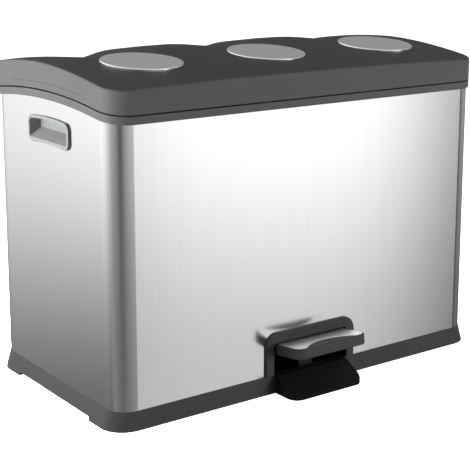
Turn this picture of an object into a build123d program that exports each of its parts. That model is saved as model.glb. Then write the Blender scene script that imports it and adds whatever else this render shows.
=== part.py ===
from build123d import *
import math
import os

# Three-compartment pedal bin. Millimetres, X to the right, Y to the back, Z up.
# The parts are drawn about the middle of the base, then moved so that the middle
# of the whole bin, pedal included, stands on the origin.

# ---- body ----
BODY_W, BODY_D, BODY_R = 580.0, 304.6, 28.0
BASE_W, BASE_D, BASE_R = 595.0, 312.5, 33.0
RIM_W, RIM_D, RIM_R = 586.0, 311.0, 31.0
SHEET = 0.8
WALL = 2.5
RETURN_X = 246.0
PANEL_X, PANEL_THICK = 262.0, 2.0
COLLAR_W, COLLAR_D, COLLAR_R = BODY_W - 2.0, BODY_D - 6.2, BODY_R - 2.5
SKIRT_LOW = 0.6
POST_R = 5.0
BASE_TOP = 24.0
FLOOR_Z = 46.0
FLOOR_THICK = 2.0
TRAY_FLOOR, TRAY_THICK = 4.0, 3.0
FRONT_Y = -BODY_D / 2

# ---- arches that run from front to back ----
ARCH_Y = 8.0
ARCH_R = 960.0
STEEL_CROWN = 381.6
LID_CROWN = 392.9
LID_GAP = 1.7
SPAN = 640.0
FAR_Y, FAR_Z = 170.0, 460.0

# ---- lid ----
LID_WALL = 2.6
ROOF_THICK = 3.0
DISC_PITCH = 190.5
DISC_XS = (-DISC_PITCH, 0.0, DISC_PITCH)
DISC_Y = -55.0
DISC_Z = 427.6
DISC_R = 51.8
DISC_THICK = 4.2
DISC_TILT = 5.7
SEAT_R = DISC_R + 0.5
TRIM_HALF, TRIM_RISE, TRIM_DEEP = 95.5, 8.2, 1.5
SEAM = 0.25
LINER_RISE, LINER_THICK = 3.6, 2.0
LINER_SCREW_LONG = 14.0

# ---- lid's waved roof ----
ROOF_EDGE_Z, ROOF_TOP_Y, ROOF_FALL = 425.8, 22.0, 0.00174
SWELL, CREST, CREST_Y, CREST_SPREAD = 5.0, 3.0, 42.0, 46.0
SCOOP_DEEP, SCOOP_HALF, SCOOP_START, SCOOP_RUN = 13.0, 80.0, -28.0, 70.0

# ---- hinge and lift ----
HINGE_Y, HINGE_Z = 147.0, 387.0
HINGE_X = 120.0
HINGE_PIN_R = 2.5
KNUCKLE_R = 6.0
RUN_GAP = 0.05
COVE_R = 10.4
END_X, BOSS_R, BOSS_GAP = 258.0, 9.0, 0.3
EAR_X, EAR_HALF = 16.0, 4.0
BARREL_HALF = 11.0
HINGE_GAP_HALF = 23.0
LID_OPEN = 75.0
CRANK_R = 17.0
CRANK_PIN_R = 3.0
PLAY = 0.7
CRANK_LOW = LID_OPEN / 2
CRANK_Y = HINGE_Y - CRANK_R * math.cos(math.radians(CRANK_LOW))
CRANK_Z = HINGE_Z - CRANK_R * math.sin(math.radians(CRANK_LOW))
ROD_Y, ROD_R = 131.0, 3.0
PAD_TOP = CRANK_Z - CRANK_PIN_R - PLAY
PAD_TALL = 8.0

# ---- pedal ----
PIVOT_Y, PIVOT_Z, PIVOT_R = -40.0, 22.0, 3.0
SHOE_Z, SHOE_R = 16.0, 5.5
PEDAL_HALF, PEDAL_LONG, PEDAL_THICK = 57.5, 61.0, 13.7
PEDAL_BACK_Y, PEDAL_BACK_Z, PEDAL_TILT = -140.0, 62.7, -7.0
TREAD_HALF, TREAD_BACK, TREAD_FRONT = 55.4, -2.5, -58.6
TREAD_SUNK, TREAD_PROUD = 1.2, 0.4
BITE_HALF, BITE_DEEP = 41.0, 17.0
TONGUE_HALF, TONGUE_THICK, TONGUE_DEEP = 20.0, 3.0, 8.0
MOUTH_HALF, MOUTH_HIGH = 61.0, 67.0
RAMP_HALF, RAMP_FRONT, RAMP_LIP, RAMP_BACK = 58.0, -195.0, 6.5, -150.0
FRAME_HALF, FRAME_HIGH, FRAME_PROUD = 73.5, 80.5, 3.5

# ---- side grips ----
GRIP_HALF, GRIP_LOW, GRIP_HIGH, GRIP_SAG = 52.2, 326.5, 360.0, 3.0
GRIP_PROUD, GRIP_EDGE, GRIP_LET_IN = 2.8, 3.8, 2.0
GRIP_DEEP, GRIP_WALL = 15.0, 1.6

# ---- buckets ----
BUCKET_PITCH, BUCKET_Y = 186.0, -5.0
BUCKET_W, BUCKET_D = 166.0, 238.0
BUCKET_TOP = 371.0
BUCKET_WALL = 1.8
FLANGE = 4.0
BAIL_R = 2.0

# ---- slow-close damper ----
DAMPER_X, DAMPER_Y = 45.0, 137.0
DAMPER_LOW, DAMPER_HIGH, DAMPER_R, DAMPER_BORE = 150.0, 235.0, 9.0, 6.5
PISTON_LOW, PISTON_R, PISTON_ROD_R = 168.0, 6.0, 2.0
CROSS_LOW, CROSS_HIGH = 258.0, 264.0

# ---- rubber feet ----
FOOT_L, FOOT_W, FOOT_SUNK = 44.0, 20.0, 3.0
FOOT_X, FOOT_Y = 235.0, 128.0

# ---- screws ----
SCREW_R, HEAD_R, HEAD_TALL = 1.5, 3.2, 1.8


# ---------------------------------------------------------------- helpers
def slab(width, depth, corner, low, high):
    """An upright rounded block between two heights."""
    return Pos(0, 0, low) * extrude(RectangleRounded(width, depth, corner), high - low)


def block(x0, x1, y0, y1, z0, z1):
    """A plain box between limits."""
    return Pos((x0 + x1) / 2, (y0 + y1) / 2, (z0 + z1) / 2) * Box(x1 - x0, y1 - y0, z1 - z0)


def under_arch(crown):
    """Everything below an arch with this crown height."""
    drum = Pos(0, ARCH_Y, crown - ARCH_R) * Rot(0, 90, 0) * Cylinder(ARCH_R, SPAN)
    return drum & block(-SPAN / 2, SPAN / 2, -SPAN / 2, SPAN / 2, -10, crown + 1)


def arch_z(y, crown):
    """Height of an arch at one place along Y."""
    return crown - ARCH_R + math.sqrt(ARCH_R**2 - (y - ARCH_Y) ** 2)


def bar_x(x0, x1, y, z, radius):
    """A round bar along X."""
    return Pos((x0 + x1) / 2, y, z) * Rot(0, 90, 0) * Cylinder(radius, x1 - x0)


def bar_z(x, y, z0, z1, radius):
    """A round bar along Z."""
    return Pos(x, y, (z0 + z1) / 2) * Cylinder(radius, z1 - z0)


def side_plate(points, x0, x1):
    """A plate with an outline in Y and Z, between two X values."""
    face = make_face(Polyline(*[(x0, y, z) for y, z in points], close=True))
    return extrude(face, x1 - x0, dir=(1, 0, 0))


def screw(place, length):
    """A pan-head screw at a location, its head on the +Z side of the location."""
    head = Pos(0, 0, HEAD_TALL / 2) * Cylinder(HEAD_R, HEAD_TALL)
    head = fillet(head.faces().sort_by(Axis.Z)[-1].edges(), HEAD_TALL * 0.5)
    slot = Pos(0, 0, HEAD_TALL) * (Box(3.0, 0.8, 1.4) + Box(0.8, 3.0, 1.4))
    return place * (head - slot + Pos(0, 0, -length / 2) * Cylinder(SCREW_R, length))


def screw_bore(place, length):
    """The hole and the flat seat that a screw of this length fills."""
    seat = Pos(0, 0, HEAD_TALL / 2) * Cylinder(HEAD_R + 0.2, HEAD_TALL)
    return place * (seat + Pos(0, 0, -length / 2) * Cylinder(SCREW_R, length))


def group(shapes):
    """Separate solids kept together in one node."""
    return Compound(children=list(shapes))


def less(shape, cutters):
    """A shape with several others taken away."""
    for cutter in cutters:
        shape -= cutter
    return shape


def mirrored(x_values, y_values):
    """Each X with both signs, for each Y."""
    return [(side * x, y) for y in y_values for x in x_values for side in (-1, 1)]


# ---------------------------------------------------------------- places of feet and screws
FOOT_SPOTS = mirrored([FOOT_X], [-FOOT_Y, FOOT_Y])
BASE_SPOTS = mirrored([230.0, 92.0], [-105.0, 105.0])
BASE_SCREWS = [Pos(x, y, TRAY_FLOOR) * Rot(180, 0, 0) for x, y in BASE_SPOTS]
BASE_SCREW_LONG = 12.0
BACK_SPOTS = [(side * 256.0, z) for z in (60.0, 160.0, 260.0, 345.0) for side in (-1, 1)]
BACK_SCREWS = [Pos(x, BODY_D / 2, z) * Rot(-90, 0, 0) for x, z in BACK_SPOTS]
BACK_SCREW_LONG = 2.8
BRACKET_SPOTS = [(side * 19.0, y) for side in (-1, 1) for y in (-50.0, -30.0)]
BRACKET_SCREWS = [Pos(x, y, 9.0) for x, y in BRACKET_SPOTS]
BRACKET_SCREW_LONG = 4.5
LINER_SPOTS = mirrored([255.0], [-100.0, 100.0]) + mirrored([95.0], [-115.0, 90.0])
GUIDE_HEIGHTS = (96.0, 300.0)
GUIDE_SCREWS = [
    Pos(side * 12.0, 143.5, z + 7.0) * Rot(90, 0, 0) for z in GUIDE_HEIGHTS for side in (-1, 1)
]
GUIDE_SCREW_LONG = 7.5
PEDAL_FRAME = Pos(0, PEDAL_BACK_Y, PEDAL_BACK_Z) * Rot(PEDAL_TILT, 0, 0)
PEDAL_SCREWS = [
    PEDAL_FRAME * Pos(side * 13.0, -38.0, -TONGUE_DEEP - TONGUE_THICK) * Rot(180, 0, 0)
    for side in (-1, 1)
]
PEDAL_SCREW_LONG = 6.5


# ---------------------------------------------------------------- body
def grip_face(inset):
    """The arched outline of a side grip, in the Y-Z plane at X = 0."""
    half = GRIP_HALF - inset
    low, high = GRIP_LOW + inset, GRIP_HIGH - inset
    sag = GRIP_SAG * (half / GRIP_HALF) ** 2
    top = ThreePointArc((0, -half, high - sag), (0, 0, high), (0, half, high - sag))
    bottom = ThreePointArc((0, half, low - sag), (0, 0, low), (0, -half, low - sag))
    back = Line((0, half, high - sag), (0, half, low - sag))
    front = Line((0, -half, low - sag), (0, -half, high - sag))
    face = make_face([top, back, bottom, front])
    return fillet(face.vertices(), max(10.0 - inset, 3.0))


def grip_prism(inset, x0, x1):
    """A grip outline drawn out between two X values."""
    return extrude(Pos(x0, 0, 0) * grip_face(inset), x1 - x0, dir=(1, 0, 0))


def pedal_gate(grow, y0, y1):
    """The rounded gate shape of the pedal opening, between two Y values."""
    half, high = MOUTH_HALF + grow, MOUTH_HIGH + grow
    corner = 6.0 + grow * 0.9
    gate = block(-half, half, y0, y1, BASE_TOP, high)
    edges = gate.edges().filter_by(Axis.Y).group_by(Axis.Z)[-1]
    return fillet(edges, corner)


def body_wrap():
    """The steel sheet: front, sides, rear corners and narrow rear returns."""
    top = STEEL_CROWN + 5
    wrap = slab(BODY_W, BODY_D, BODY_R, BASE_TOP, top)
    wrap -= slab(BODY_W - 2 * SHEET, BODY_D - 2 * SHEET, BODY_R - SHEET, BASE_TOP, top)
    wrap = wrap & under_arch(STEEL_CROWN)
    wrap -= block(-RETURN_X, RETURN_X, 140, FAR_Y, BASE_TOP, top)
    wrap -= pedal_gate(7.5, FRONT_Y - 8, FRONT_Y + 12)
    for side in (-1, 1):
        wrap -= Pos(side * BODY_W / 2, 0, 0) * grip_prism(GRIP_LET_IN, -12, 12)
    return less(wrap, [screw_bore(s, BACK_SCREW_LONG) for s in BACK_SCREWS])


def back_panel():
    """The black panel that closes the back between the steel returns."""
    outer = BODY_D / 2 - SHEET
    panel = block(-PANEL_X, PANEL_X, outer - PANEL_THICK, outer, BASE_TOP, STEEL_CROWN + 5)
    for x in (-165.0, 0.0, 165.0):
        recess = block(x - 72, x + 72, outer - 0.6, outer, 60, 340)
        panel -= fillet(recess.edges().filter_by(Axis.Y), 10)
    panel &= under_arch(STEEL_CROWN)
    bores = [screw_bore(s, BACK_SCREW_LONG) for s in BACK_SCREWS]
    bores += [screw_bore(s, GUIDE_SCREW_LONG) for s in GUIDE_SCREWS]
    return less(panel, bores)


def base_tray():
    """The moulded base: flared skirt, floor, posts and a collar inside the steel."""
    foot = Pos(0, 0, SKIRT_LOW) * RectangleRounded(BASE_W, BASE_D, BASE_R)
    ledge = Pos(0, 0, BASE_TOP) * RectangleRounded(BODY_W + 0.8, BODY_D + 0.8, BODY_R + 0.4)
    tray = loft([foot.face(), ledge.face()])
    tray += slab(COLLAR_W, COLLAR_D, COLLAR_R, BASE_TOP - 2, FLOOR_Z)
    hollow_w, hollow_d, hollow_r = COLLAR_W - 2 * WALL, COLLAR_D - 2 * WALL, COLLAR_R - WALL
    tray -= slab(hollow_w, hollow_d, hollow_r, TRAY_FLOOR + TRAY_THICK, FLOOR_Z + 1)
    tray -= slab(hollow_w, hollow_d, hollow_r, -1, TRAY_FLOOR)
    for x, y in BASE_SPOTS:
        tray += bar_z(x, y, TRAY_FLOOR, FLOOR_Z, POST_R)
    for x, y in FOOT_SPOTS:
        tray += slab_at(x, y, 50, 26, 10, 1.6, TRAY_FLOOR + 1)
    side_gap = block(-300, 300, -94, 94, -1, 5.1)
    side_gap -= block(-BODY_W / 2 + 1, BODY_W / 2 - 1, -100, 100, -2, 6)
    tray -= fillet(side_gap.edges().filter_by(Axis.X).group_by(Axis.Z)[-1], 3.0)
    tray -= ramp_envelope()
    tray -= block(-MOUTH_HALF - 3, MOUTH_HALF + 3, -FAR_Y, -125, BASE_TOP, FLOOR_Z + 1)
    bores = [screw_bore(s, BASE_SCREW_LONG) for s in BASE_SCREWS]
    bores += [screw_bore(s, BRACKET_SCREW_LONG) for s in BRACKET_SCREWS]
    tray = less(tray, bores)
    for x, y in FOOT_SPOTS:
        tray -= slab_at(x, y, FOOT_L, FOOT_W, FOOT_W / 2 - 0.5, -1, FOOT_SUNK)
    return tray


def slab_at(x, y, width, depth, corner, low, high):
    """A rounded block with its middle at x, y."""
    return Pos(x, y, 0) * slab(width, depth, corner, low, high)


def foot_pads():
    """Four rubber pads let into the underside."""
    return group(
        slab_at(x, y, FOOT_L, FOOT_W, FOOT_W / 2 - 0.5, 0, FOOT_SUNK) for x, y in FOOT_SPOTS
    )


def ramp_envelope():
    """The space that the foot ramp fills in the front of the base."""
    return block(-RAMP_HALF, RAMP_HALF, -FAR_Y, RAMP_BACK, -2, BASE_TOP)


def foot_ramp():
    """The wedge under the pedal that keeps the bin from tipping forward."""
    side = [(RAMP_BACK, 0), (RAMP_BACK, BASE_TOP), (RAMP_BACK - 7, BASE_TOP),
            (RAMP_FRONT + 5, RAMP_LIP), (RAMP_FRONT, RAMP_LIP / 2), (RAMP_FRONT, 0)]
    ramp = side_plate(side, -RAMP_HALF, RAMP_HALF)
    ramp &= slab_at(0, RAMP_BACK, 2 * RAMP_HALF, 2 * (RAMP_BACK - RAMP_FRONT), 14, -1, BASE_TOP + 1)
    long_edges = ramp.edges().filter_by(Axis.X).filter_by(lambda e: e.center().Z > 1)
    ramp = fillet(long_edges.filter_by(lambda e: RAMP_FRONT + 1 < e.center().Y < RAMP_BACK - 5), 2.0)
    return ramp - block(6 - RAMP_HALF, RAMP_HALF - 6, RAMP_FRONT + 13, RAMP_BACK - 3, -1, 3)


def floor_plate():
    """The false floor that carries the buckets above the pedal lever."""
    plate = slab(BODY_W - 5, BODY_D - 9, BODY_R - 5, FLOOR_Z, FLOOR_Z + FLOOR_THICK)
    plate -= bar_z(0, ROD_Y, FLOOR_Z - 1, FLOOR_Z + 5, ROD_R + 1)
    for x in (-BUCKET_PITCH, 0, BUCKET_PITCH):
        ring = slab_at(x, BUCKET_Y, 158, 226, 22, FLOOR_Z + 1, FLOOR_Z + 4)
        ring -= slab_at(x, BUCKET_Y, 154, 222, 20, FLOOR_Z, FLOOR_Z + 5)
        plate += ring
    return plate - block(-MOUTH_HALF - 3, MOUTH_HALF + 3, -FAR_Y, -126, FLOOR_Z - 1, FLOOR_Z + 9)


def hinge_ears():
    """Pairs of ears that stand on the rim and hold the hinge pins."""
    ears = []
    for side in (-1, 1):
        for x in (HINGE_X - EAR_X, HINGE_X + EAR_X):
            ear = bar_x(x - EAR_HALF, x + EAR_HALF, HINGE_Y, HINGE_Z, KNUCKLE_R)
            ear += block(x - EAR_HALF, x + EAR_HALF, HINGE_Y - KNUCKLE_R, HINGE_Y + KNUCKLE_R,
                         HINGE_Z - 15, HINGE_Z)
            ears.append(Pos((side - 1) * x, 0, 0) * ear)
    return ears


def end_bosses():
    """Round bosses that fill the lid's rear corners and let them turn about the hinge."""
    corners = slab(RIM_W, RIM_D, RIM_R, HINGE_Z - COVE_R, HINGE_Z + COVE_R)
    return [
        corners & bar_x(*sorted((side * END_X, side * SPAN / 2)), HINGE_Y, HINGE_Z, BOSS_R)
        for side in (-1, 1)
    ]


def corner_coves():
    """The hollows in the lid's rear corners that turn round the rim's bosses."""
    below = block(-SPAN / 2, SPAN / 2, HINGE_Y, FAR_Y, 0, HINGE_Z)
    coves = []
    for side in (-1, 1):
        x0, x1 = sorted((side * (END_X - BOSS_GAP), side * SPAN / 2))
        heel = below & bar_x(x0, x1, HINGE_Y, HINGE_Z, COVE_R)
        coves.append(heel + bar_x(x0, x1, HINGE_Y, HINGE_Z, BOSS_R + BOSS_GAP))
    return coves


def rim_frame():
    """The black ring between the steel and the lid, with the hinge ears."""
    top = LID_CROWN - LID_GAP
    rim = slab(RIM_W, RIM_D, RIM_R, 340, LID_CROWN + 5) - under_arch(STEEL_CROWN)
    spigot = slab(COLLAR_W, COLLAR_D, COLLAR_R, 340, LID_CROWN + 5)
    rim += spigot - under_arch(STEEL_CROWN - 14)
    rim &= under_arch(top)
    rim -= slab_at(0, -1, 554, 274, 18, 330, LID_CROWN + 9)
    rim = fillet(rim.edges().filter_by(lambda e: e.center().Z > 378).filter_by(
        lambda e: abs(e.center().X) > 292.9 or e.center().Y < -155.4), 0.6)
    swing = bar_x(-SPAN / 2, SPAN / 2, HINGE_Y, HINGE_Z, COVE_R)
    rim -= swing & block(-END_X, END_X, 0, FAR_Y, 0, FAR_Z)
    rim -= swing & block(-SPAN / 2, SPAN / 2, HINGE_Y + 4, FAR_Y, 0, FAR_Z)
    rim -= block(-END_X, END_X, HINGE_Y - 9, FAR_Y, HINGE_Z - 8, FAR_Z)
    for boss in end_bosses():
        rim += boss
    rim -= block(-20, 20, 130, 141, 330, 400)
    for ear in hinge_ears():
        rim += ear
    for side in (-1, 1):
        rim -= bar_x(side * HINGE_X - 25, side * HINGE_X + 25, HINGE_Y, HINGE_Z, HINGE_PIN_R)
    return rim


def lid_bumpers():
    """Four soft pads on the rim that the lid closes on."""
    pads = []
    for x, y in mirrored([200.0], [-147.0]) + mirrored([285.0], [60.0]):
        z = arch_z(y, LID_CROWN - LID_GAP)
        pads.append(bar_z(x, y, z - 3, z + LID_GAP - 0.6, 3.5) - under_arch(LID_CROWN - LID_GAP))
    return group(pads)


def pedal_surround():
    """The black frame round the pedal opening, with a short tunnel."""
    y0 = FRONT_Y - FRAME_PROUD
    face = block(-FRAME_HALF, FRAME_HALF, y0, FRONT_Y, BASE_TOP + 0.4, FRAME_HIGH)
    face = fillet(face.edges().filter_by(Axis.Y).group_by(Axis.Z)[-1], 19.0)
    rounded = face.faces().sort_by(Axis.Y)[0].edges()
    face = fillet(rounded.filter_by(lambda e: e.center().Z > BASE_TOP + 2), 1.8)
    frame = face + pedal_gate(2.2, FRONT_Y, -128)
    frame += pedal_gate(7.0, FRONT_Y - 0.1, FRONT_Y + 1.5)
    frame -= pedal_gate(0, -165, -120)
    return frame


def grip(side):
    """A framed finger pocket; the side is -1 for the left end and 1 for the right."""
    wall = BODY_W / 2
    frame = grip_prism(0, wall, wall + GRIP_PROUD)
    rounded = frame.faces().sort_by(Axis.X)[-1].edges()
    frame = fillet(rounded, 0.8)
    frame += grip_prism(GRIP_LET_IN, wall - SHEET, wall)
    frame += grip_prism(GRIP_EDGE - GRIP_WALL, wall - GRIP_DEEP, wall)
    hollow = grip_prism(GRIP_EDGE, wall - GRIP_DEEP + GRIP_WALL, wall + 10)
    slope = side_plate_y(
        [(wall + 4, 300), (wall + 4, GRIP_LOW + 3), (wall - GRIP_DEEP, GRIP_LOW + 15),
         (wall - GRIP_DEEP, 300)], -60, 60)
    frame -= hollow - slope
    return frame if side > 0 else mirror(frame, Plane.YZ)


def side_plate_y(points, y0, y1):
    """A plate with an outline in X and Z, between two Y values."""
    face = make_face(Polyline(*[(x, y0, z) for x, z in points], close=True))
    return extrude(face, y1 - y0, dir=(0, 1, 0))


# ---------------------------------------------------------------- buckets
def tub(shrink, low, high):
    """The tapered solid of a bucket, made smaller by the wall on each side."""
    width, depth = BUCKET_W - 2 * shrink, BUCKET_D - 2 * shrink
    bottom = Pos(0, 0, low) * RectangleRounded(width - 16, depth - 18, 22 - shrink)
    top = Pos(0, 0, high) * RectangleRounded(width, depth, 26 - shrink)
    return loft([bottom.face(), top.face()])


def bucket():
    """An inner bucket: a tapered tub with a flat flange and two bail lugs."""
    low = FLOOR_Z + FLOOR_THICK
    shape = tub(0, low, BUCKET_TOP)
    flange = slab(BUCKET_W + 2 * FLANGE, BUCKET_D + 2 * FLANGE, 30, BUCKET_TOP - 9, BUCKET_TOP)
    skirt = slab(BUCKET_W + 2 * FLANGE - 3, BUCKET_D + 2 * FLANGE - 3, 28.5,
                 BUCKET_TOP - 10, BUCKET_TOP - 2)
    shape += flange - skirt
    for side in (-1, 1):
        lug = block(-1.8, 1.8, -5, 5, BUCKET_TOP - 1, BUCKET_TOP + 5)
        shape += Pos(side * (BUCKET_W / 2 - 2), 0, 0) * lug
    shape -= tub(BUCKET_WALL, low + BUCKET_WALL, BUCKET_TOP + 0.01)
    shape -= slab(BUCKET_W - 2 * BUCKET_WALL - 1, BUCKET_D - 2 * BUCKET_WALL - 1, 23,
                  BUCKET_TOP - 0.5, BUCKET_TOP + 0.2)
    half = BUCKET_W / 2 + FLANGE
    return shape - bar_x(-half, half, 0, BUCKET_TOP + BAIL_R, BAIL_R)


def bail():
    """The wire handle of a bucket, folded flat on its flange."""
    z = BUCKET_TOP + BAIL_R
    x = BUCKET_W / 2 + 2.5
    y = -BUCKET_D / 2 - 1
    points = [(-x + 8, 0, z), (-x, 0, z), (-x, y, z), (x, y, z), (x, 0, z), (x - 8, 0, z)]
    path = Polyline(*points)
    section = Plane(origin=points[0], z_dir=(-1, 0, 0)) * Circle(BAIL_R)
    return sweep(section, path=path, transition=Transition.ROUND)


# ---------------------------------------------------------------- pedal works
def pivot_bracket():
    """The steel bracket on the tray floor that holds the pedal pin."""
    bracket = block(-24, 24, -56, -24, 7, 9)
    for side in (-1, 1):
        ear = side_plate([(-52, 7), (-52, 18), (-45, 29), (-35, 29), (-28, 18), (-28, 7)],
                         side * 13.75 - 1.25, side * 13.75 + 1.25)
        bracket += ear
    bracket -= bar_x(-30, 30, PIVOT_Y, PIVOT_Z, PIVOT_R)
    return less(bracket, [screw_bore(s, BRACKET_SCREW_LONG) for s in BRACKET_SCREWS])


def pedal_pin():
    """The pin that the pedal lever rocks on, headed at both ends."""
    pin = bar_x(-17, 17, PIVOT_Y, PIVOT_Z, PIVOT_R)
    for side in (-1, 1):
        pin += bar_x(side * 16 - 1, side * 16 + 1, PIVOT_Y, PIVOT_Z, 4.6)
    return pin


def pedal_lever():
    """The rocking steel channel from the tongue under the pedal to the lift rod."""
    outline = [(137, 10.5), (137, 19.5), (-30, 29), (-128, 34), (-131, 50), (-131, 53),
               (-144, 54.5), (-144, 22), (-40, 15)]
    lever = side_plate(outline, -11, 11)
    inside = [(140, 0), (140, 40), (112, 40), (112, 18.9), (-30, 27), (-126, 31.9), (-126, 0)]
    lever -= side_plate(inside, -9, 9)
    tongue = block(-TONGUE_HALF, TONGUE_HALF, -48, 6, -TONGUE_DEEP - TONGUE_THICK, -TONGUE_DEEP)
    lever += PEDAL_FRAME * tongue
    lever -= bar_x(-30, 30, PIVOT_Y, PIVOT_Z, PIVOT_R + RUN_GAP)
    lever -= bar_x(-30, 30, ROD_Y, SHOE_Z, 2.0)
    return less(lever, [screw_bore(s, PEDAL_SCREW_LONG) for s in PEDAL_SCREWS])


def lever_shoe():
    """The rounded nylon shoe at the rear of the lever."""
    return bar_x(-9, 9, ROD_Y, SHOE_Z, SHOE_R) - bar_x(-9, 9, ROD_Y, SHOE_Z, 2.0)


def shoe_rivet():
    """The rivet that holds the shoe between the lever's cheeks."""
    rivet = bar_x(-12, 12, ROD_Y, SHOE_Z, 2.0)
    for side in (-1, 1):
        rivet += bar_x(side * 11.6 - 0.6, side * 11.6 + 0.6, ROD_Y, SHOE_Z, 3.4)
    return rivet


def pedal_plan(inset):
    """The plan of the pedal: square at the back, rounded at the front."""
    half = PEDAL_HALF - inset
    plan = Pos(0, -PEDAL_LONG / 2 + inset / 2, 0) * Rectangle(2 * half, PEDAL_LONG - inset)
    return fillet(plan.vertices().group_by(Axis.Y)[0], 12.0 - inset * 0.5)


def pedal_body():
    """The black pedal moulding round the lever's tongue."""
    body = Pos(0, 0, -PEDAL_THICK) * extrude(pedal_plan(0), PEDAL_THICK)
    top_and_bottom = body.edges().filter_by(lambda e: abs(e.center().Z + PEDAL_THICK / 2) > 6)
    body = fillet(top_and_bottom.filter_by(lambda e: e.center().Y < -3), 1.8)
    body -= Pos(0, 0, -TREAD_SUNK) * extrude(tread_face(0), 3)
    tongue = block(-TONGUE_HALF, TONGUE_HALF, -48, 8, -TONGUE_DEEP - TONGUE_THICK, -TONGUE_DEEP)
    body -= tongue
    body -= block(-12, 12, -9, 8, -PEDAL_THICK - 1, -TONGUE_DEEP)
    heads = [Pos(side * 13.0, -38.0, -14) * Cylinder(HEAD_R + 0.3, 6) for side in (-1, 1)]
    body = less(PEDAL_FRAME * body, [PEDAL_FRAME * h for h in heads])
    return less(body, [screw_bore(s, PEDAL_SCREW_LONG) for s in PEDAL_SCREWS])


def tread_face(gap):
    """The outline of the tread plate, with its front edge cut by an arc."""
    half, back, front = TREAD_HALF - gap, TREAD_BACK - gap, TREAD_FRONT + gap
    plate = Pos(0, (back + front) / 2, 0) * Rectangle(2 * half, back - front)
    plate = fillet(plate.vertices().group_by(Axis.Y)[0], 10.0)
    bow = (BITE_HALF**2 + BITE_DEEP**2) / (2 * BITE_DEEP)
    return plate - Pos(0, TREAD_FRONT + BITE_DEEP - bow, 0) * Circle(bow + gap)


def tread_plate():
    """The brushed-steel plate let into the top of the pedal."""
    plate = Pos(0, 0, -TREAD_SUNK) * extrude(tread_face(0.2), TREAD_SUNK + TREAD_PROUD)
    top = plate.faces().sort_by(Axis.Z)[-1].edges()
    return PEDAL_FRAME * fillet(top, 0.35)


# ---------------------------------------------------------------- lift works
def rod_guide(low):
    """A plastic block on the back panel that the lift rod slides in."""
    guide = block(-9, 9, 124, 149.5, low, low + 14)
    guide = fillet(guide.edges().filter_by(Axis.Z).group_by(Axis.Y)[0], 4)
    guide += block(-17, 17, 143.5, 149.5, low, low + 14)
    guide -= bar_z(0, ROD_Y, low - 1, low + 15, ROD_R + RUN_GAP)
    return less(guide, [screw_bore(s, GUIDE_SCREW_LONG) for s in GUIDE_SCREWS])


def lift_rod():
    """The steel rod from the lever up to the lid crank."""
    foot_z = SHOE_Z + SHOE_R + PLAY
    return bar_z(0, ROD_Y, foot_z, PAD_TOP - PAD_TALL + 4, ROD_R)


def rod_foot():
    """The plate under the rod that the lever's shoe pushes."""
    foot_z = SHOE_Z + SHOE_R + PLAY
    foot = bar_z(0, ROD_Y, foot_z, foot_z + 2.5, 7.5)
    return foot - bar_z(0, ROD_Y, foot_z - 1, foot_z + 5, ROD_R)


def rod_pad():
    """The plastic head of the rod that pushes the crank pin."""
    pad = block(-8, 8, 124.5, 138, PAD_TOP - PAD_TALL, PAD_TOP)
    pad = fillet(pad.edges().filter_by(Axis.Z), 2)
    return pad - bar_z(0, ROD_Y, PAD_TOP - PAD_TALL - 1, PAD_TOP - PAD_TALL + 4, ROD_R)


def crosshead():
    """The arm that ties the damper's piston to the lift rod."""
    arm = slab_at(DAMPER_X / 2, 134, DAMPER_X + 16, 16, 6, CROSS_LOW, CROSS_HIGH)
    arm -= bar_z(0, ROD_Y, CROSS_LOW - 1, CROSS_HIGH + 1, ROD_R)
    return arm - bar_z(DAMPER_X, DAMPER_Y, CROSS_LOW - 1, CROSS_HIGH + 1, PISTON_ROD_R)


def damper_piston():
    """The damper's thin rod and its piston."""
    rod = bar_z(DAMPER_X, DAMPER_Y, PISTON_LOW, CROSS_HIGH, PISTON_ROD_R)
    return rod + bar_z(DAMPER_X, DAMPER_Y, PISTON_LOW, PISTON_LOW + 7, PISTON_R)


def damper_cylinder():
    """The damper's closed cylinder."""
    tube = bar_z(DAMPER_X, DAMPER_Y, DAMPER_LOW, DAMPER_HIGH, DAMPER_R)
    tube -= bar_z(DAMPER_X, DAMPER_Y, DAMPER_LOW + 6, DAMPER_HIGH - 4, DAMPER_BORE)
    return tube - bar_z(DAMPER_X, DAMPER_Y, DAMPER_HIGH - 5, DAMPER_HIGH + 5, PISTON_ROD_R + 0.4)


def damper_clamp():
    """The saddle that holds the damper on the back panel."""
    clamp = block(DAMPER_X - 13, DAMPER_X + 13, 126, 149.5, 178, 192)
    clamp = fillet(clamp.edges().filter_by(Axis.Z).group_by(Axis.Y)[0], 5)
    return clamp - bar_z(DAMPER_X, DAMPER_Y, 177, 193, DAMPER_R)


# ---------------------------------------------------------------- lid
def roof_z(x, y):
    """Height of the lid's top surface."""
    arch = ROOF_EDGE_Z - ROOF_FALL * abs(y - ROOF_TOP_Y) ** 1.8
    swell = SWELL + CREST * math.exp(-(((y - CREST_Y) / CREST_SPREAD) ** 2))
    swell *= 1 - min(abs(x) / (RIM_W / 2), 1.0) ** 3.3
    return arch + swell - scoop(x, y)


def scoop(x, y):
    """Depth of the three channels that open behind the discs."""
    along = max(y - SCOOP_START, 0.0) / SCOOP_RUN
    deep = SCOOP_DEEP * (1 - math.exp(-(along**2)))
    across = min(abs(x - middle) for middle in DISC_XS) / SCOOP_HALF
    return deep * math.cos(math.pi / 2 * min(across, 1.0)) ** 2


def under_roof(drop):
    """Everything below the lid's top surface, lowered by a drop."""
    xs = [-308.0 + 11.0 * i for i in range(57)]
    ys = [-168.0 + 12.0 * i for i in range(29)]
    points = [[Vector(x, y, roof_z(x, y) - drop) for y in ys] for x in xs]
    roof = Face.make_surface_from_array_of_points(points, tol=0.02, max_deg=5)
    return extrude(roof, 120, dir=(0, 0, -1))


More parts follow.
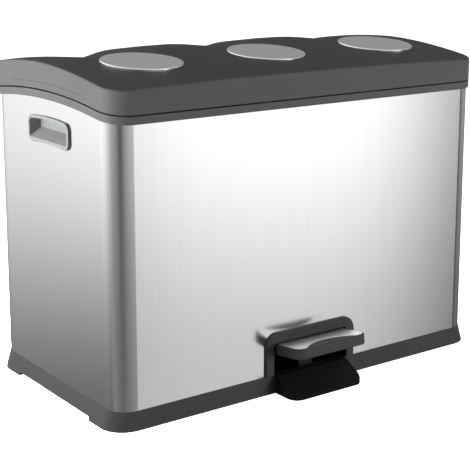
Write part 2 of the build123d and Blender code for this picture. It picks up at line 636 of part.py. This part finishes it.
def disc_frame(x):
    """The plane of a disc's seat."""
    return Pos(x, DISC_Y, DISC_Z - DISC_THICK) * Rot(DISC_TILT, 0, 0)


def lid_shell():
    """The black lid: side walls, waved roof and three disc seats."""
    shell = slab(RIM_W, RIM_D, RIM_R, 370, 450) & under_roof(0)
    rim_edges = shell.edges().filter_by(lambda e: e.center().Z > 400)
    shell = fillet(rim_edges, 2.0)
    shell -= under_arch(LID_CROWN)
    inner = slab(RIM_W - 2 * LID_WALL, RIM_D - 2 * LID_WALL, RIM_R - LID_WALL, 360, 450)
    shell -= inner & under_roof(ROOF_THICK)
    for x in DISC_XS:
        shell += disc_frame(x) * Pos(0, 0, -1.5) * Cylinder(SEAT_R, 3.0)
        shell -= disc_frame(x) * Pos(0, 0, 6) * Cylinder(SEAT_R, 12.0)
    for side in (-1, 1):
        x0, x1 = sorted((side * (HINGE_X - HINGE_GAP_HALF), side * (HINGE_X + HINGE_GAP_HALF)))
        shell -= block(x0, x1, HINGE_Y - 8, 170, 360, HINGE_Z + 7.5)
        shell -= trim_block(side, 0)
    for spot in LINER_SPOTS:
        shell += liner_post(spot)
    shell = less(shell, corner_coves())
    return less(shell, [screw_bore(s, LINER_SCREW_LONG) for s in liner_screw_places()])


def liner_post(spot):
    """A screw post that hangs from the lid's roof down to the liner."""
    x, y = spot
    low = arch_z(y, LID_CROWN) + LINER_RISE + LINER_THICK
    post = bar_z(x, y, low - 3, roof_z(x, y) - 1.5, 4.0)
    return post - under_arch(LID_CROWN + LINER_RISE + LINER_THICK)


def liner_screw_places():
    """Screws that go up through the liner, heads below it."""
    return [Pos(x, y, arch_z(y, LID_CROWN) + LINER_RISE) * Rot(180, 0, 0) for x, y in LINER_SPOTS]


def trim_block(side, inset):
    """The strip-shaped space in one end of the lid."""
    half = TRIM_HALF - inset
    x0, x1 = sorted((side * (RIM_W / 2 - TRIM_DEEP), side * (RIM_W / 2 + 1)))
    strip = block(x0, x1, -half, half, 370, 410)
    strip &= under_arch(LID_CROWN + TRIM_RISE - inset)
    return fillet(strip.edges().filter_by(Axis.X).group_by(Axis.Z)[-1], 5.0)


def lid_trim(side):
    """The strip let into one end of the lid."""
    strip = trim_block(side, SEAM) - under_arch(LID_CROWN)
    return strip & block(-RIM_W / 2, RIM_W / 2, -200, 200, 300, 450)


def lid_disc(x):
    """A round brushed-steel disc with a rounded rim."""
    disc = Pos(0, 0, DISC_THICK / 2) * Cylinder(DISC_R, DISC_THICK)
    top = disc.faces().sort_by(Axis.Z)[-1].edges()
    return disc_frame(x) * fillet(top, 1.5)


def lid_liner():
    """The inner panel of the lid, with the hinge barrels."""
    liner = slab(RIM_W - 2 * LID_WALL - 0.6, RIM_D - 2 * LID_WALL - 0.6,
                 RIM_R - LID_WALL - 0.3, 370, 410)
    liner = liner & under_arch(LID_CROWN + LINER_RISE + LINER_THICK)
    liner -= under_arch(LID_CROWN + LINER_RISE)
    for side in (-1, 1):
        x0, x1 = sorted((side * (HINGE_X - HINGE_GAP_HALF), side * (HINGE_X + HINGE_GAP_HALF)))
        liner -= block(x0, x1, HINGE_Y - 8, 170, 360, 420)
        middle = side * HINGE_X
        x0, x1 = middle - BARREL_HALF, middle + BARREL_HALF
        liner += bar_x(x0, x1, HINGE_Y, HINGE_Z, KNUCKLE_R)
        liner += block(x0, x1, HINGE_Y - 18, HINGE_Y, HINGE_Z - 2.5, HINGE_Z + 4.5)
        liner -= bar_x(x0 - 1, x1 + 1, HINGE_Y, HINGE_Z, HINGE_PIN_R + RUN_GAP)
    liner = less(liner, corner_coves())
    return less(liner, [screw_bore(s, LINER_SCREW_LONG) for s in liner_screw_places()])


def hinge_pins():
    """Two pins pressed into the rim's ears."""
    return group(
        bar_x(side * HINGE_X - 20, side * HINGE_X + 20, HINGE_Y, HINGE_Z, HINGE_PIN_R)
        for side in (-1, 1)
    )


def lid_crank():
    """Two cheeks under the liner that hold the crank pin."""
    crank = block(-17, 17, 108, 138, 382, 395)
    for side in (-1, 1):
        cheek = side_plate([(108, 384), (138, 384), (138.2, 377), (135.5, 371.8),
                            (131, 371.8), (126, 378)], side * 12 - 2, side * 12 + 2)
        crank += cheek
    crank -= block(-10, 10, 100, 150, 360, arch_z(123, LID_CROWN) + LINER_RISE - 2.0)
    crank &= under_arch(LID_CROWN + LINER_RISE)
    return crank - bar_x(-20, 20, CRANK_Y, CRANK_Z, CRANK_PIN_R)


def crank_pin():
    """The pin that the lift rod pushes to open the lid."""
    return bar_x(-14, 14, CRANK_Y, CRANK_Z, CRANK_PIN_R)


# ---------------------------------------------------------------- assembly
def root_parts():
    """Everything that stands still."""
    parts = {
        "body_wrap": body_wrap(),
        "back_panel": back_panel(),
        "base_tray": base_tray(),
        "foot_pads": foot_pads(),
        "foot_ramp": foot_ramp(),
        "floor_plate": floor_plate(),
        "rim_frame": rim_frame(),
        "lid_bumpers": lid_bumpers(),
        "hinge_pins": hinge_pins(),
        "pedal_surround": pedal_surround(),
        "grip_left": grip(-1),
        "grip_right": grip(1),
        "pivot_bracket": pivot_bracket(),
        "pedal_pin": pedal_pin(),
        "rod_guide_lower": rod_guide(GUIDE_HEIGHTS[0]),
        "rod_guide_upper": rod_guide(GUIDE_HEIGHTS[1]),
        "damper_cylinder": damper_cylinder(),
        "damper_clamp": damper_clamp(),
        "base_screws": group(screw(s, BASE_SCREW_LONG) for s in BASE_SCREWS),
        "back_screws": group(screw(s, BACK_SCREW_LONG) for s in BACK_SCREWS),
        "bracket_screws": group(screw(s, BRACKET_SCREW_LONG) for s in BRACKET_SCREWS),
        "guide_screws": group(screw(s, GUIDE_SCREW_LONG) for s in GUIDE_SCREWS),
    }
    for name, x in (("left", -BUCKET_PITCH), ("middle", 0), ("right", BUCKET_PITCH)):
        parts[f"bucket_{name}"] = Pos(x, BUCKET_Y, 0) * bucket()
        parts[f"bail_{name}"] = Pos(x, BUCKET_Y, 0) * bail()
    return parts


def lid_parts():
    """Everything that turns with the lid."""
    parts = {
        "lid_shell": lid_shell(),
        "lid_liner": lid_liner(),
        "lid_crank": lid_crank(),
        "crank_pin": crank_pin(),
        "lid_trim_left": lid_trim(-1),
        "lid_trim_right": lid_trim(1),
        "liner_screws": group(screw(s, LINER_SCREW_LONG) for s in liner_screw_places()),
    }
    for name, x in zip(("left", "middle", "right"), DISC_XS):
        parts[f"disc_{name}"] = lid_disc(x)
    return parts


def lift_parts():
    """Everything that rises with the lift rod."""
    return {
        "lift_rod": lift_rod(),
        "rod_foot": rod_foot(),
        "rod_pad": rod_pad(),
        "crosshead": crosshead(),
        "damper_piston": damper_piston(),
    }


def pedal_parts():
    """Everything that rocks with the pedal."""
    return {
        "pedal_lever": pedal_lever(),
        "pedal_body": pedal_body(),
        "tread_plate": tread_plate(),
        "lever_shoe": lever_shoe(),
        "shoe_rivet": shoe_rivet(),
        "pedal_screws": group(screw(s, PEDAL_SCREW_LONG) for s in PEDAL_SCREWS),
    }


def main():
    """Build every part, centre the whole bin on the origin and write the parts."""
    parts = root_parts() | lid_parts() | lift_parts() | pedal_parts()
    boxes = [shape.bounding_box() for shape in parts.values()]
    middle = (min(b.min.Y for b in boxes) + max(b.max.Y for b in boxes)) / 2
    print("moved along Y by", round(-middle, 4))
    os.makedirs("parts", exist_ok=True)
    for name, shape in parts.items():
        export_step(Pos(0, -middle, 0) * shape, f"parts/{name}.step")


main()
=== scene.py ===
import math

import bpy
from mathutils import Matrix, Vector


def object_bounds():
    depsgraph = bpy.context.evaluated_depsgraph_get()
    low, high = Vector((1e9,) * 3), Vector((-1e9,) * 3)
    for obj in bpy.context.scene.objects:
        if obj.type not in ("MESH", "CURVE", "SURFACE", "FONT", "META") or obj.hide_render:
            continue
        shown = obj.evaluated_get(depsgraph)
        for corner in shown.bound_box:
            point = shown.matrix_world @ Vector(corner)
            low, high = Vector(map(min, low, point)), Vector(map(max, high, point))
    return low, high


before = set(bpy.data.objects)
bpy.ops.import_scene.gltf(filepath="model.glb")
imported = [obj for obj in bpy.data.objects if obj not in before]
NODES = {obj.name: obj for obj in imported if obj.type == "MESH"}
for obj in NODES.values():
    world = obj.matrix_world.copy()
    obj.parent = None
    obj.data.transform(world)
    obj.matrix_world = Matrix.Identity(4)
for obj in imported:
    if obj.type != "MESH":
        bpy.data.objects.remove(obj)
CAD_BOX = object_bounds()


# ---------------------------------------------------------------- node helpers
class Paint:
    """A procedural material and short ways to add nodes to it."""

    def __init__(self, name, color, roughness, metallic=0.0):
        self.material = bpy.data.materials.new(name)
        self.material.use_nodes = True
        self.tree = self.material.node_tree
        self.shader = self.tree.nodes["Principled BSDF"]
        self.shader.inputs["Base Color"].default_value = (*color, 1)
        self.shader.inputs["Roughness"].default_value = roughness
        self.shader.inputs["Metallic"].default_value = metallic
        self.place = self.add("ShaderNodeTexCoord").outputs["Object"]

    def add(self, kind, **settings):
        node = self.tree.nodes.new(kind)
        for key, value in settings.items():
            setattr(node, key, value)
        return node

    def link(self, start, end):
        self.tree.links.new(start, end)

    def stretched(self, scale):
        """Object coordinates multiplied by a scale on each axis."""
        mapping = self.add("ShaderNodeMapping")
        mapping.inputs["Scale"].default_value = scale
        self.link(self.place, mapping.inputs["Vector"])
        return mapping.outputs["Vector"]

    def noise(self, scale, detail, stretch=(1, 1, 1)):
        """Noise whose grains are 1 / scale metres across."""
        node = self.add("ShaderNodeTexNoise")
        node.inputs["Scale"].default_value = scale
        node.inputs["Detail"].default_value = detail
        self.link(self.stretched(stretch), node.inputs["Vector"])
        return node.outputs["Fac"]

    def spread(self, noise, out_low, out_high):
        """The middle of a noise's range, NOISE_LOW to NOISE_HIGH, carried to another range."""
        node = self.add("ShaderNodeMapRange")
        node.inputs["From Min"].default_value = NOISE_LOW
        node.inputs["From Max"].default_value = NOISE_HIGH
        node.inputs["To Min"].default_value = out_low
        node.inputs["To Max"].default_value = out_high
        self.link(noise, node.inputs["Value"])
        return node.outputs["Result"]

    def tint(self, value, dark, light):
        """The base colour runs from dark to light as the value goes from 0 to 1."""
        node = self.add("ShaderNodeMix", data_type="RGBA")
        node.inputs["A"].default_value = (*dark, 1)
        node.inputs["B"].default_value = (*light, 1)
        self.link(value, node.inputs["Factor"])
        self.link(node.outputs["Result"], self.shader.inputs["Base Color"])

    def bump(self, value, distance):
        """Surface relief as deep as the distance."""
        node = self.add("ShaderNodeBump")
        node.inputs["Distance"].default_value = distance
        node.inputs["Strength"].default_value = 1.0
        self.link(value, node.inputs["Height"])
        self.link(node.outputs["Normal"], self.shader.inputs["Normal"])

    def roughness(self, value):
        self.link(value, self.shader.inputs["Roughness"])


def brushed_steel(name, color, along, roughness, contrast=0.05):
    """Stainless steel with fine brush lines; along is the stretch that makes the lines long."""
    paint = Paint(name, color, roughness, metallic=1.0)
    lines = paint.noise(BRUSH_FINE, 2.0, along)
    broad = paint.noise(BRUSH_BROAD, 2.0, along)
    dark = tuple(c * (1 - contrast) for c in color)
    paint.tint(paint.spread(lines, 0, 1), dark, color)
    paint.roughness(paint.spread(broad, roughness - 0.005, roughness + 0.005))
    paint.bump(lines, BRUSH_RELIEF)
    return paint


def moulded_plastic(name, color, roughness, grain=1400.0, relief=0.00002, gloss=0.5):
    """Satin moulded plastic with a fine grain and faint handling marks."""
    paint = Paint(name, color, roughness)
    paint.shader.inputs["Specular IOR Level"].default_value = gloss
    fine = paint.noise(grain, 2.0)
    cloudy = paint.noise(CLOUDS, 3.0)
    light = tuple(c * 1.12 + 0.0005 for c in color)
    paint.tint(paint.spread(cloudy, 0, 1), color, light)
    paint.roughness(paint.spread(cloudy, roughness - 0.02, roughness + 0.03))
    paint.bump(fine, relief)
    return paint


def plated_steel(name, color, roughness):
    """Zinc-plated or ground steel for the hidden works."""
    paint = Paint(name, color, roughness, metallic=1.0)
    mottle = paint.noise(MOTTLE, 4.0)
    paint.tint(paint.spread(mottle, 0, 1), tuple(c * 0.8 for c in color), color)
    paint.roughness(paint.spread(mottle, roughness - 0.05, roughness + 0.08))
    return paint


def dress(paint, *names):
    """Give one material to every slot of some CAD nodes."""
    for name in names:
        mesh = NODES[name].data
        mesh.materials.clear()
        mesh.materials.append(paint.material)


# ---------------------------------------------------------------- materials
NOISE_LOW, NOISE_HIGH = 0.3, 0.7
BRUSH_FINE, BRUSH_BROAD, BRUSH_RELIEF = 2600.0, 208.0, 0.000002
CLOUDS, MOTTLE = 14.0, 90.0
UPRIGHT, ACROSS = (1, 1, 0.004), (0.004, 1, 1)

dress(brushed_steel("wrap_steel", (0.80, 0.80, 0.79), UPRIGHT, 0.16), "body_wrap")
dress(brushed_steel("disc_steel", (0.94, 0.94, 0.93), ACROSS, 0.25),
      "disc_left", "disc_middle", "disc_right")
dress(brushed_steel("tread_steel", (0.95, 0.95, 0.94), ACROSS, 0.42, contrast=0.02), "tread_plate")

dress(moulded_plastic("lid_black", (0.014, 0.0143, 0.0143), 0.5, gloss=0.2),
      "lid_shell", "lid_trim_left", "lid_trim_right")
dress(moulded_plastic("rim_black", (0.014, 0.0143, 0.0143), 0.45, gloss=0.25), "rim_frame")
dress(moulded_plastic("base_black", (0.006, 0.0062, 0.0062), 0.45, gloss=0.3), "base_tray")
# Black plastic made darker still: part of the ramp's darkness is painted shade, standing for the pedal's
# shadow on it.
dress(moulded_plastic("ramp_black_and_painted_shade", (0.0015, 0.0016, 0.0016), 0.4, gloss=0.05), "foot_ramp")
dress(moulded_plastic("pedal_black", (0.007, 0.0072, 0.0072), 0.4, gloss=0.25),
      "pedal_body", "pedal_surround")
dress(moulded_plastic("grip_grey", (0.030, 0.031, 0.031), 0.4), "grip_left", "grip_right")
dress(moulded_plastic("panel_black", (0.02, 0.0205, 0.0205), 0.5, grain=900.0, relief=0.00006),
      "back_panel", "floor_plate")
dress(moulded_plastic("liner_black", (0.03, 0.0305, 0.0305), 0.5), "lid_liner")
dress(moulded_plastic("bucket_grey", (0.07, 0.072, 0.075), 0.42),
      "bucket_left", "bucket_middle", "bucket_right")
dress(moulded_plastic("nylon_dark", (0.04, 0.04, 0.04), 0.45),
      "lid_crank", "crosshead", "damper_cylinder", "damper_clamp", "rod_guide_lower", "rod_guide_upper")
dress(moulded_plastic("nylon_white", (0.62, 0.61, 0.57), 0.4), "rod_pad", "lever_shoe")
dress(moulded_plastic("pad_rubber", (0.02, 0.02, 0.02), 0.75, grain=600.0, relief=0.0001),
      "foot_pads", "lid_bumpers")
# Near-black for the lever and its bracket: painted shade, standing for the shade inside the body where
# the lever shows through the cut-out.
dress(moulded_plastic("lever_shade_black", (0.003, 0.003, 0.003), 0.45, grain=700.0, gloss=0.1),
      "pedal_lever", "pivot_bracket")
dress(plated_steel("ground_steel", (0.6, 0.6, 0.6), 0.22),
      "hinge_pins", "pedal_pin", "crank_pin", "lift_rod", "damper_piston",
      "bail_left", "bail_middle", "bail_right")
dress(plated_steel("zinc_steel", (0.5, 0.5, 0.48), 0.38),
      "rod_foot", "shoe_rivet", "base_screws", "back_screws",
      "bracket_screws", "guide_screws", "liner_screws", "pedal_screws")


# ---------------------------------------------------------------- studio
def floor():
    """A wide pale floor, left out of reflections so that the studio shows in the steel."""
    bpy.ops.mesh.primitive_plane_add(size=14, location=(0, 0, CAD_BOX[0].z))
    plane = bpy.context.object
    plane.name = "floor"
    paint = Paint("floor_pale", (0.86, 0.86, 0.86), 0.9)
    paint.shader.inputs["Emission Color"].default_value = (1, 1, 1, 1)
    paint.shader.inputs["Emission Strength"].default_value = FLOOR_GLOW
    plane.data.materials.append(paint.material)
    plane.visible_glossy = False


class Sky:
    """The studio round the object: white panels and dark gaps, as seen in its reflections."""

    def __init__(self):
        world = bpy.data.worlds.new("studio")
        world.use_nodes = True
        bpy.context.scene.world = world
        self.tree = world.node_tree
        self.output = self.tree.nodes["Background"]
        direction = self.add("ShaderNodeTexCoord").outputs["Generated"]
        axes = self.add("ShaderNodeSeparateXYZ")
        self.tree.links.new(direction, axes.inputs[0])
        self.x, self.y, self.z = axes.outputs

    def add(self, kind, **settings):
        node = self.tree.nodes.new(kind)
        for key, value in settings.items():
            setattr(node, key, value)
        return node

    def math(self, operation, *values):
        node = self.add("ShaderNodeMath", operation=operation)
        for socket, value in zip(node.inputs, values):
            if isinstance(value, (int, float)):
                socket.default_value = value
            else:
                self.tree.links.new(value, socket)
        return node.outputs[0]

    def along(self, east, north):
        """How far the direction points along a level one."""
        return self.math("ADD", self.math("MULTIPLY", self.x, east), self.math("MULTIPLY", self.y, north))

    def curve(self, value, stops):
        """A value from -1 to 1 looked up between stops of (place, brightness)."""
        ramp = self.add("ShaderNodeValToRGB")
        ramp.color_ramp.interpolation = "EASE"
        elements = ramp.color_ramp.elements
        while len(elements) < len(stops):
            elements.new(0.5)
        for element, (place, level) in zip(elements, stops):
            element.position = (place + 1) / 2
            element.color = (level, level, level, 1)
        self.tree.links.new(self.math("MULTIPLY_ADD", value, 0.5, 0.5), ramp.inputs["Fac"])
        return ramp.outputs["Color"]

    def blend(self, amount, first, second):
        """First where the amount is 0, second where it is 1."""
        rest = self.math("SUBTRACT", 1.0, amount)
        return self.math("ADD", self.math("MULTIPLY", first, rest), self.math("MULTIPLY", second, amount))

    def step(self, value, low, high):
        """0 below low, 1 above high, smooth between."""
        node = self.add("ShaderNodeMapRange", interpolation_type="SMOOTHSTEP")
        node.inputs["From Min"].default_value = low
        node.inputs["From Max"].default_value = high
        self.tree.links.new(value, node.inputs["Value"])
        return node.outputs["Result"]


def studio(yaw, strength):
    """White panels to the right and the left of a narrow dark gap; the viewer sees only white."""
    sky = Sky()
    toward = sky.along(-math.sin(yaw), -math.cos(yaw))
    across = sky.along(math.cos(yaw), -math.sin(yaw))
    right = sky.curve(toward, RIGHT_PANEL)
    left = sky.curve(toward, LEFT_PANEL)
    round_about = sky.blend(sky.step(across, *LEFT_TO_RIGHT), left, right)
    low_front = sky.curve(sky.z, FRONT_FALL)
    low_back = sky.curve(sky.z, BACK_FALL)
    low = sky.blend(sky.step(sky.y, *FRONT_TO_BACK), low_front, low_back)
    walls = sky.math("MULTIPLY", round_about, low)
    lit = sky.math("MULTIPLY", sky.blend(sky.step(sky.z, *WALL_TO_CEILING), walls, CEILING), strength)
    seen = sky.add("ShaderNodeLightPath").outputs["Is Camera Ray"]
    sky.tree.links.new(sky.blend(seen, lit, 1.0), sky.output.inputs["Strength"])
    sky.output.inputs["Color"].default_value = (1, 1, 1, 1)


def softbox(name, place, target, size, power):
    """An area light aimed at a point, which lights plastics but isn't mirrored in the steel."""
    data = bpy.data.lights.new(name, "AREA")
    data.shape = "RECTANGLE"
    data.size, data.size_y = size
    data.energy = power
    lamp = bpy.data.objects.new(name, data)
    lamp.location = place
    lamp.rotation_euler = (Vector(target) - Vector(place)).to_track_quat("-Z", "Y").to_euler()
    lamp.visible_glossy = lamp.visible_camera = False
    bpy.context.scene.collection.objects.link(lamp)


def camera(yaw, pitch, distance, target, focal_px, shift_y):
    """The photograph's camera; yaw is to the left of straight in front."""
    data = bpy.data.cameras.new("camera")
    data.sensor_width = 36.0
    data.lens = focal_px / PICTURE_PX * data.sensor_width
    data.shift_y = shift_y
    data.clip_start, data.clip_end = 0.05, 50
    eye = bpy.data.objects.new("camera", data)
    back = Vector((-math.sin(yaw) * math.cos(pitch), -math.cos(yaw) * math.cos(pitch), math.sin(pitch)))
    eye.location = Vector(target) + back * distance
    eye.rotation_euler = (-back).to_track_quat("-Z", "Y").to_euler()
    bpy.context.scene.collection.objects.link(eye)
    bpy.context.scene.camera = eye


# Brightness by the cosine of the angle from the dark gap, and by height (-1 down, 1 up).
RIGHT_PANEL = ((-1, 0.22), (-0.85, 0.2), (-0.55, 0.3), (-0.2, 0.25), (0.02, 0.1), (0.11, 0.05),
               (0.2, 1.3), (0.34, 1.28), (0.44, 0.64), (0.5, 0.55), (0.714, 0.46), (0.894, 0.36),
               (0.96, 0.24), (0.99, 0.1), (1, 0.06))
LEFT_PANEL = ((-1, 0.22), (-0.9, 0.22), (-0.7, 0.75), (-0.5, 0.85), (-0.44, 0.95), (-0.39, 1.15),
              (-0.29, 1.15), (0.139, 1.05), (0.477, 0.72), (0.737, 0.4), (0.908, 0.3), (0.96, 0.2),
              (0.99, 0.08), (1, 0.06))
FRONT_FALL = ((-1, 0.2), (-0.36, 0.42), (-0.1, 1.0), (1, 1.0))
BACK_FALL = ((-1, 0.04), (-0.39, 0.1), (-0.1, 1.0), (1, 1.0))
CEILING, STUDIO_STRENGTH, FLOOR_GLOW = 0.5, 1.3, 0.75
LEFT_TO_RIGHT, FRONT_TO_BACK, WALL_TO_CEILING = (-0.02, 0.02), (-0.3, 0.3), (0.45, 0.75)

PICTURE_PX = 470.0
YAW, PITCH = math.radians(35.82), math.radians(11.12)
TX, TZ, DISTANCE, FOCAL, SHIFT = -0.0083, 0.2675, 1.696, 1240.0, -0.15
BASE_DEPTH = 0.3125
BASE_MIDDLE_Y = CAD_BOX[1].y - BASE_DEPTH / 2
camera(YAW, PITCH, DISTANCE,
       (TX * math.cos(YAW), -TX * math.sin(YAW) + BASE_MIDDLE_Y, TZ), FOCAL, SHIFT)

floor()
studio(YAW, STUDIO_STRENGTH)
softbox("top", (0.2, -0.3, 2.4), (0, 0, 0), (2.4, 2.4), 8)
softbox("left", (-0.8, 0.05, 0.38), (-0.29, 0, 0.38), (0.5, 0.25), 48)
softbox("front", (1.2, -2.0, 0.35), (0, 0, 0.3), (1.0, 0.5), 200)

bpy.context.scene.view_settings.view_transform = "Standard"
